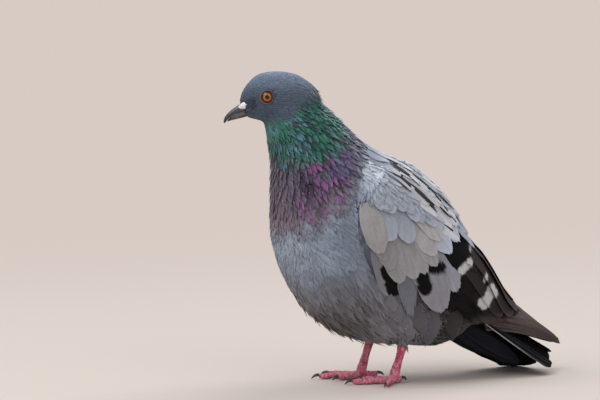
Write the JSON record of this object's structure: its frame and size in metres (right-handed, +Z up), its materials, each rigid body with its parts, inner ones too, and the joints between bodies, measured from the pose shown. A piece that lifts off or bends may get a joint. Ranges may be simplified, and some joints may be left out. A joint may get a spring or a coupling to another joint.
{
  "type": "pigeon",
  "caption": "Life-size standing feral pigeon, head turned a little to its right, wings folded and tail lowered, as a still museum model.",
  "frame": {"origin": "the middle of the bounding box in plan, on the floor that the toes and tail rest on", "axes": "+Z up, the bird faces -Y with its tail towards +Y, and its left side is +X"},
  "size_m": [0.118, 0.2706, 0.2302],
  "materials": {
    "head_feathers": "small soft slate-blue feathers, matt",
    "neck_feathers": "iridescent green and purple hackles with a silky gloss",
    "body_feathers": "soft blue-grey contour feathers, matt",
    "wing_feathers": "pale silver-grey coverts with black bars, matt with a light sheen",
    "flight_feathers": "stiff dark brown-grey vanes with pale edges, satin",
    "tail_feathers": "stiff near-black vanes, satin",
    "bill_horn": "dark horn, satin",
    "cere_skin": "powdery white swollen skin, matt",
    "eye": "orange iris and black pupil under a clear gloss",
    "leg_skin": "raspberry-pink scaled skin, satin",
    "claw_horn": "dark grey horn, satin"
  },
  "bodies": {
    "root": {"bill_lower": "bill_horn", "bill_upper": "bill_horn", "cere_left": "cere_skin", "cere_right": "cere_skin", "claw_hind_left": "claw_horn", "claw_hind_right": "claw_horn", "claw_inner_left": "claw_horn", "claw_inner_right": "claw_horn", "claw_middle_left": "claw_horn", "claw_middle_right": "claw_horn", "claw_outer_left": "claw_horn", "claw_outer_right": "claw_horn", "eye_left": "eye", "eye_right": "eye", "head": "head_feathers", "neck": "neck_feathers", "primaries_left": "flight_feathers", "primaries_right": "flight_feathers", "tail": "tail_feathers", "tarsus_left": "leg_skin", "tarsus_right": "leg_skin", "thigh_left": "body_feathers", "thigh_right": "body_feathers", "toe_hind_left": "leg_skin", "toe_hind_right": "leg_skin", "toe_inner_left": "leg_skin", "toe_inner_right": "leg_skin", "toe_middle_left": "leg_skin", "toe_middle_right": "leg_skin", "toe_outer_left": "leg_skin", "toe_outer_right": "leg_skin", "trunk": "body_feathers", "wing_left": "wing_feathers", "wing_right": "wing_feathers"}
  },
  "joints": []
}
